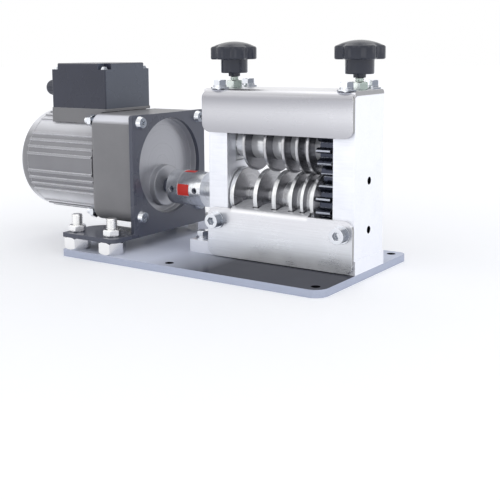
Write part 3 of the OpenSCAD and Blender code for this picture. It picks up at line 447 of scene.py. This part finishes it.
def base_metal(name):
    """Base plate: bright milled edges, and a glossy top with a painted reflection, dark in front
    of the head and light towards the left and the back, and a painted shade in the bores.
    """
    t = Tree(name)
    top = t.math("GREATER_THAN", t.faces(2), 0.9)
    cloud = t.noise(t.coord(), 30, 4.0)
    lines = t.noise(t.scaled(60, 1500, 1500), 1.0, 3.0)
    # Painted reflection on the top: light towards -X and +Y, dark in front of the head
    painted_reflection_side = t.math(
        "MAXIMUM",
        t.spread(t.share(t.coord(), 0), 1.0, 0.0, -0.03, 0.02),
        t.spread(t.share(t.coord(), 1), 0.0, 1.0, -0.02, 0.04),
    )
    skin = t.mix(
        top,
        t.mix(lines, (0.42, 0.46, 0.57), (0.56, 0.60, 0.72)),
        t.mix(
            painted_reflection_side,
            t.mix(cloud, (0.070, 0.072, 0.088), (0.098, 0.101, 0.118)),
            t.mix(cloud, (0.62, 0.65, 0.75), (0.70, 0.74, 0.85)),
        ),
    )
    # Painted shade: the bores are coloured near black
    bores = t.near(BASE_BORES, 3.0, (1, 1, 0))
    t.set(
        Base_Color=t.mix(bores, skin, (0.012, 0.012, 0.016)),
        Metallic=t.math("MULTIPLY", t.math("SUBTRACT", 1.0, top), 0.35),
        IOR=1.03,
        Roughness=t.spread(cloud, 0.04, 0.08),
        Normal=t.bump(lines, 0.2, 0.000004, t.edge(0.0005)),
    )
    return t.mat


ZINC = {"grain": (1500, 1500, 1500), "depth": 0.000004, "patch": 90}
MATERIALS = {
    "base": base_metal("base_plate_metal"),
    # Painted shade in the side plates' bores
    "aluminium": metal(
        "satin_aluminium", (0.88, 0.895, 0.95), 0.5, (90, 900, 900), 0.00001,
        rim=(0.97, 0.97, 0.99), bores=SIDE_BORES,
    ),
    # Hood and apron: the stops paint a reflection that changes with height
    "hood": banded(
        "brushed_upper_cover",
        (90, 119),
        [
            (90, (0.43, 0.43, 0.46)),
            (104, (0.60, 0.60, 0.63)),
            (114, (0.36, 0.36, 0.39)),
            (118.6, (0.82, 0.82, 0.85)),
        ],
    ),
    "apron": banded(
        "brushed_lower_cover",
        (5, 45),
        [
            (5.6, (0.97, 0.98, 0.99)),
            (18, (0.87, 0.89, 0.93)),
            (36, (0.84, 0.84, 0.87)),
            (44, (0.66, 0.66, 0.68)),
        ],
        sloped=(0.62, 0.62, 0.64),
    ),
    # Zinc plates: side is a painted shade on faces that look along X
    "zinc": metal(
        "zinc_plate", (0.78, 0.80, 0.84), 0.14, edge=0.00025, side=(0.24, 0.26, 0.30), **ZINC
    ),
    "zinc_warm": metal(
        "warm_zinc_plate", (0.96, 0.95, 0.94), 0.2, side=(0.75, 0.75, 0.77), **ZINC
    ),
    "zinc_green": metal(
        "green_zinc_plate", (0.70, 0.75, 0.72), 0.2, side=(0.30, 0.35, 0.33), **ZINC
    ),
    # Turned parts: flank is a painted shade on the faces across the axis
    "roller": turned(
        "turned_roller", (0.88, 0.89, 0.90), 0.22, ROLLER_AXIS, 0.85, flank=(0.42, 0.42, 0.44)
    ),
    "knife": turned(
        "ground_knife", (0.60, 0.60, 0.62), 0.22, KNIFE_AXIS, 0.9, 0.0004,
        flank=(0.17, 0.17, 0.185),
    ),
    "spacer": turned(
        "turned_spacer", (0.96, 0.97, 0.99), 0.2, KNIFE_AXIS, 0.55, flank=(0.55, 0.55, 0.57)
    ),
    "coupling": turned(
        "coupling_metal", (0.90, 0.92, 0.95), 0.2, ROLLER_AXIS, 0.88, 0.0004, 500, gloss=0.2
    ),
    "steel": metal("plain_steel", (0.62, 0.63, 0.65), 0.32),
    # Gears: the second tone is a painted highlight on the crests of the teeth
    "gear": gear_steel("oiled_gear_steel", (0.060, 0.066, 0.092), (0.42, 0.44, 0.50)),
    # Rim tones are edge wear with a painted highlight
    "black_steel": paint(
        "black_bracket_paint", (0.082, 0.089, 0.120), 0.3, 1500, 0.00002, rim=(0.22, 0.23, 0.27)
    ),
    "gearbox": gearbox_paint("gearbox_paint", (0.235, 0.232, 0.240), (0.42, 0.425, 0.455)),
    "seat": paint(
        "seat_paint", (0.215, 0.212, 0.218), 0.4, 1200, edge=0.0008, rim=(0.4, 0.4, 0.42)
    ),
    # Motor: the first tone is painted light on faces that look up or down, the second painted
    # shade on upright ones
    "motor": silver("motor_paint", (0.95, 0.95, 0.98), (0.27, 0.268, 0.283)),
    # Plastic: side is a painted light on faces that look along +X
    "plastic": paint(
        "black_plastic", (0.030, 0.034, 0.056), 0.28, 1600, 0.00002, 0.0005,
        rim=(0.16, 0.17, 0.2), side=(0.085, 0.098, 0.130),
    ),
    "knob": paint(
        "knob_plastic", (0.020, 0.024, 0.040), 0.24, 900, 0.00001, 0.0008, rim=(0.14, 0.15, 0.18)
    ),
    "red": paint(
        "red_insert_rubber", (0.70, 0.035, 0.025), 0.4, 700, edge=0.0003, rim=(0.8, 0.2, 0.18)
    ),
    "bronze": metal("sintered_bronze", (0.60, 0.42, 0.22), 0.4, (1500, 1500, 1500)),
    "terminal": paint("terminal_plastic", (0.55, 0.50, 0.36), 0.5),
    "spring": metal("spring_wire", (0.5, 0.5, 0.52), 0.3),
}

LOOKS = {
    "base": ["base_plate"],
    "aluminium": ["head_base", "left_side_plate", "right_side_plate"],
    "hood": ["upper_cover"],
    "apron": ["lower_cover"],
    "zinc": [
        "cover_bolts", "cover_washers", "lower_cover_screws", "lower_cover_washers",
        "head_base_bolts", "head_base_washers", "side_plate_screws", "gearbox_screws",
        "gearbox_nuts", "terminal_screws",
    ],
    "zinc_warm": ["bracket_spacers", "bracket_studs", "bracket_nuts"],
    "zinc_green": ["adjuster_nuts", "left_adjusting_screw", "right_adjusting_screw"],
    "roller": ["grooved_roller"],
    "knife": ["knives"],
    "spacer": ["knife_spacers", "knife_shaft"],
    "coupling": ["coupling_motor_hub", "coupling_roller_hub"],
    "steel": ["roller_bearings", "left_bearing_block", "right_bearing_block"],
    "gear": ["lower_gear", "upper_gear"],
    "black_steel": ["motor_bracket", "gearbox_shaft", "coupling_set_screws"],
    "gearbox": ["gearbox_housing"],
    "seat": ["terminal_seat"],
    "motor": ["motor_housing", "motor_end_cap"],
    "plastic": ["terminal_cover", "cable_gland"],
    "knob": ["left_knob", "right_knob"],
    "red": ["coupling_insert"],
    "bronze": ["block_bushes"],
    "terminal": ["terminal_block"],
    "spring": ["lift_springs"],
}
for look, names in LOOKS.items():
    for name in names:
        slots = NODES[name].data.materials
        slots.clear()
        slots.append(MATERIALS[look])


# Mesh helpers


def grid_mesh(name, skins, ring=False):
    """A mesh of closed skins. Each skin is a list of rows, each row a ring of as many points.

    A skin is closed by its first and last rows, or runs round on itself where ring is set.
    """
    verts, faces = [], []
    for rows in skins:
        count, start = len(rows[0]), len(verts)
        verts += [p for row in rows for p in row]
        for r in range(len(rows) - (0 if ring else 1)):
            low, high = (start + count * i for i in (r, (r + 1) % len(rows)))
            for k in range(count):
                n = (k + 1) % count
                faces.append((low + k, low + n, high + n, high + k))
        if not ring:
            faces.append(tuple(start + k for k in range(count))[::-1])
            faces.append(tuple(start + (len(rows) - 1) * count + k for k in range(count)))
    mesh = bpy.data.meshes.new(name)
    mesh.from_pydata(verts, [], faces)
    mesh.update()
    bm = bmesh.new()
    bm.from_mesh(mesh)
    bmesh.ops.recalc_face_normals(bm, faces=bm.faces)
    bm.to_mesh(mesh)
    bm.free()
    return mesh


def piece(name, mesh, look, body, smooth=35):
    """Puts a mesh in the scene as a named piece of a body."""
    obj = bpy.data.objects.new(name, mesh)
    bpy.context.scene.collection.objects.link(obj)
    mesh.materials.append(MATERIALS[look])
    if smooth:
        mesh.polygons.foreach_set("use_smooth", [True] * len(mesh.polygons))
        mesh.set_sharp_from_angle(angle=math.radians(smooth))
    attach(obj, body)
    return obj


def reshaped(name, node, look, body, move):
    """Replaces a node whose outline is slightly off by its mesh with some points moved."""
    mesh = NODES[node].data.copy()
    mesh.name = name
    mesh.materials.clear()
    for vertex in mesh.vertices:
        vertex.co = move(vertex.co / MM) * MM
    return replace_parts(piece(name, mesh, look, body, None), node)


def tighter_corner(p):
    """Takes the base plate's back corner at the head's end to its smaller radius."""
    old, new = 9, 5
    away = Vector((p.x - (PLATE_END - old), p.y - (PLATE_BACK - old)))
    if min(away) > -0.1 and abs(away.length - old) < 0.3:
        x, y = (far - new + k * new / old for far, k in zip((PLATE_END, PLATE_BACK), away))
        return Vector((x, y, p.z))
    return p


def flush_end(p):
    """Takes the block's end at the head out to the end of the base plate."""
    return Vector((PLATE_END, p.y, p.z)) if p.x > BLOCK_END - 0.1 else p


def fillet(corner, r, start, steps=5):
    """Points of a quarter round of radius r about a centre, from angle start on."""
    return [
        (
            corner[0] + r * math.cos(math.radians(start + 90 * k / steps)),
            corner[1] + r * math.sin(math.radians(start + 90 * k / steps)),
        )
        for k in range(steps + 1)
    ]


def spot(place, axis, rho, a, h):
    """A point at radius rho, angle a and height h round an axis through place, in metres."""
    u, v = rho * math.cos(a), rho * math.sin(a)
    x, y, z = place
    return tuple(c * MM for c in ((x + u, y + v, z + h) if axis == "z" else (x + h, y + u, z + v)))


def threads(name, places, axis, r, pitch, length, node, body, look="zinc"):
    """Screw threads that start at each place and end in a chamfer, of outer radius r."""
    depth, around, steps_a_turn = 0.6 * pitch, 36, 8
    steps = int(length / pitch * steps_a_turn)
    skins = []
    for place in places:
        rows = []
        for i in range(steps + 1):
            h = length * i / steps
            ends = r - depth + 1.2 * min(h, length - h)
            row = []
            for k in range(around):
                wave = abs(((h / pitch - k / around) % 1) * 2 - 1)
                rho = min(r - depth * (1 - min(max(wave * 1.5 - 0.25, 0), 1)), ends)
                row.append(spot(place, axis, rho, 2 * math.pi * k / around, h))
            rows.append(row)
        skins.append(rows)
    obj = piece(name, grid_mesh(name, skins), look, body, 50)
    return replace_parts(obj, node)


def nuts(name, places, axis, flats, height, bore, node, body, look="zinc"):
    """Hexagon nuts, chamfered on both ends, with a countersunk bore given by its radius.

    flats is the distance across the flats.
    """
    around, steps, skins = 72, 10, []
    for place in places:
        rows = []
        for i in range(steps + 1):
            h = height * (0.5 - 0.5 * math.cos(math.pi * i / steps))
            cone = flats / 2 * 0.96 + 1.75 * min(h, height - h)
            row = []
            for k in range(around):
                a = 2 * math.pi * k / around
                corner = a if axis == "z" else a + math.pi / 6
                side = flats / 2 / math.cos((corner % (math.pi / 3)) - math.pi / 6)
                row.append(spot(place, axis, min(side, cone), a, h))
            rows.append(row)
        for rho, h in ((bore + 0.5, height), (bore, height - 0.5), (bore, 0.5), (bore + 0.5, 0)):
            circle = [2 * math.pi * k / around for k in range(around)]
            rows.append([spot(place, axis, rho, a, h) for a in circle])
        skins.append(rows)
    obj = piece(name, grid_mesh(name, skins, ring=True), look, body, 25)
    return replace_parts(obj, node)


def star_knob(name, node, x, turn, body):
    """A seven-lobed knob: fluted rim, domed top, plain hub and short neck."""
    lobes, around, depth = 7, 168, 2.3
    profile = [(3.2, 126.6), (3.9, 126.6), (4.0, 127.0), (4.0, 128.4), (4.3, 128.8)]
    profile += [(7.8, 128.8)] + fillet((8.3, 129.6), 0.8, -90)[1:] + [(9.1, 137.3), (9.3, 137.9)]
    rim = [(12.2, 138.0)] + fillet((14.9, 139.1), 1.1, -90) + fillet((14.5, 145.2), 1.5, 0)
    dome = [(14.4 * (1 - k / 14), 146.75 + 3.25 * (1 - (1 - k / 14) ** 2)) for k in range(1, 14)]
    rows = []
    for index, (rho, z) in enumerate(profile + rim + dome):
        row = []
        fluted = max(min((rho - 9.5) / 5.5, 1), 0) if index >= len(profile) else 0
        for k in range(around):
            a = 2 * math.pi * k / around
            wave = 0.5 - 0.5 * math.cos(lobes * a)
            cut = depth * wave ** 1.6 * fluted ** 2
            row.append(spot((x, SCREW_Y, 0), "z", rho - cut, a + math.radians(turn), z))
        rows.append(row)
    obj = piece(name, grid_mesh(name, [rows]), "knob", body, 50)
    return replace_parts(obj, node)


# Camera at the photograph's angle


def camera():
    data = bpy.data.cameras.new("camera")
    data.sensor_width = 36
    data.lens = 65.54
    data.shift_x = 0.0451
    data.shift_y = -0.1474
    right = Vector((0.81765, 0.57564, -0.00923)).normalized()
    ahead = Vector((-0.57114, 0.80903, -0.13884)).normalized()
    up = right.cross(ahead).normalized()
    cam = bpy.data.objects.new("camera", data)
    cam.matrix_world = Matrix.Translation((0.357833, -0.511098, 0.145217)) @ Matrix(
        (right, up, -ahead)
    ).transposed().to_4x4()
    bpy.context.scene.collection.objects.link(cam)
    bpy.context.scene.camera = cam


# Floor, world and lamps

FLOOR_SIZE = 6.0


def seen_directly(nt):
    """1 for camera, glossy and transmission rays, 0 for the rest."""
    path = nt.nodes.new("ShaderNodeLightPath")
    total = path.outputs["Is Camera Ray"]
    for name in ("Is Glossy Ray", "Is Transmission Ray"):
        either = nt.nodes.new("ShaderNodeMath")
        either.operation = "MAXIMUM"
        nt.links.new(total, either.inputs[0])
        nt.links.new(path.outputs[name], either.inputs[1])
        total = either.outputs[0]
    return total


def floor():
    """White floor that fades to full white away from the machine and keeps its shadow."""
    mesh = bpy.data.meshes.new("floor")
    signs = ((-1, -1), (1, -1), (1, 1), (-1, 1))
    mesh.from_pydata([(x * FLOOR_SIZE, y * FLOOR_SIZE, 0) for x, y in signs], [], [(0, 1, 2, 3)])
    obj = bpy.data.objects.new("floor", mesh)
    bpy.context.scene.collection.objects.link(obj)
    t = Tree("floor_white")
    cloud = t.noise(t.coord(), 3.0, 2.0)
    away = t.node("ShaderNodeVectorMath", operation="LENGTH")
    t.link(t.coord(), away.inputs[0])
    glow = t.spread(away.outputs["Value"], 0.14, 0.40, 0.12, 0.95)
    t.set(
        Base_Color=t.mix(cloud, (0.93, 0.93, 0.935), (0.95, 0.95, 0.955)),
        Roughness=0.9,
        Emission_Color=(1, 1, 1, 1),
        Emission_Strength=t.math("MULTIPLY", seen_directly(t.nt), glow),
    )
    mesh.materials.append(t.mat)


def lamp(name, place, aim, size, watts):
    data = bpy.data.lights.new(name, "AREA")
    data.shape = "RECTANGLE"
    data.size, data.size_y = size
    data.energy = watts
    obj = bpy.data.objects.new(name, data)
    obj.location = place
    obj.rotation_euler = (Vector(aim) - Vector(place)).to_track_quat("-Z", "Y").to_euler()
    bpy.context.scene.collection.objects.link(obj)


def world():
    """Plain light on the object, and white where the world itself is seen."""
    w = bpy.data.worlds.new("studio")
    bpy.context.scene.world = w
    w.use_nodes = True
    nt = w.node_tree
    nt.nodes.clear()
    out = nt.nodes.new("ShaderNodeOutputWorld")
    plain = nt.nodes.new("ShaderNodeBackground")
    plain.inputs["Color"].default_value = (0.93, 0.95, 1.0, 1)
    plain.inputs["Strength"].default_value = 0.7
    white = nt.nodes.new("ShaderNodeBackground")
    white.inputs["Color"].default_value = (1, 1, 1, 1)
    white.inputs["Strength"].default_value = 1.0
    mix = nt.nodes.new("ShaderNodeMixShader")
    nt.links.new(seen_directly(nt), mix.inputs[0])
    nt.links.new(plain.outputs[0], mix.inputs[1])
    nt.links.new(white.outputs[0], mix.inputs[2])
    nt.links.new(mix.outputs[0], out.inputs[0])


BRACKET_STUDS = [(x, y, 0.5) for x in (-99, -66) for y in (-50.5, 50.5)]
BRACKET_NUTS = [(x, y, 17) for x, y, z in BRACKET_STUDS]
GEARBOX_NUTS = [(-102.8, 3 + y, 61.5 + z) for y in (-33.25, 33.25) for z in (-33.25, 33.25)]
threads(
    "bracket_stud_threads", BRACKET_STUDS, "z", 4, 1.25, 29.1,
    "bracket_studs", "frame", "zinc_warm",
)
nuts("bracket_hexagon_nuts", BRACKET_NUTS, "z", 11, 5, 4.05, "bracket_nuts", "frame", "zinc_warm")
nuts("gearbox_hexagon_nuts", GEARBOX_NUTS, "x", 8, 4, 2.55, "gearbox_nuts", "frame")
nuts(
    "adjuster_hexagon_nuts", [(x, SCREW_Y, 119) for x in ADJUSTERS.values()], "z", 10, 5, 3.05,
    "adjuster_nuts", "frame", "zinc_green",
)
for side, x in ADJUSTERS.items():
    threads(
        side + "_adjuster_thread", [(x, SCREW_Y, 90.3)], "z", 3, 1.0, 47.5,
        side + "_adjusting_screw", side + "_adjuster", "zinc_green",
    )
for side, turn in (("left", 10), ("right", -37)):
    star_knob(side + "_star_knob", side + "_knob", ADJUSTERS[side], turn, side + "_adjuster")
reshaped("base_plate_outline", "base_plate", "base", "frame", tighter_corner)
reshaped("head_block", "head_base", "aluminium", "frame", flush_end)

camera()
floor()
world()
for spec in (
    ("key", (0.9, -0.7, 0.9), (0, 0, 0.05), (0.9, 0.9), 1.75),
    ("fill", (-0.9, -0.8, 0.6), (0, 0, 0.06), (0.9, 0.7), 1.0),
    ("top", (0.0, 0.2, 1.2), (0, 0, 0), (1.2, 0.8), 1.9),
    ("side", (1.2, 0.25, 0.45), (0.05, 0, 0.06), (0.7, 0.7), 1.4),
    ("front", (-0.1, -0.9, 0.12), (0.04, 0, 0.06), (0.5, 0.25), 0.3),
):
    lamp(*spec)

bpy.context.scene.view_settings.view_transform = "Standard"
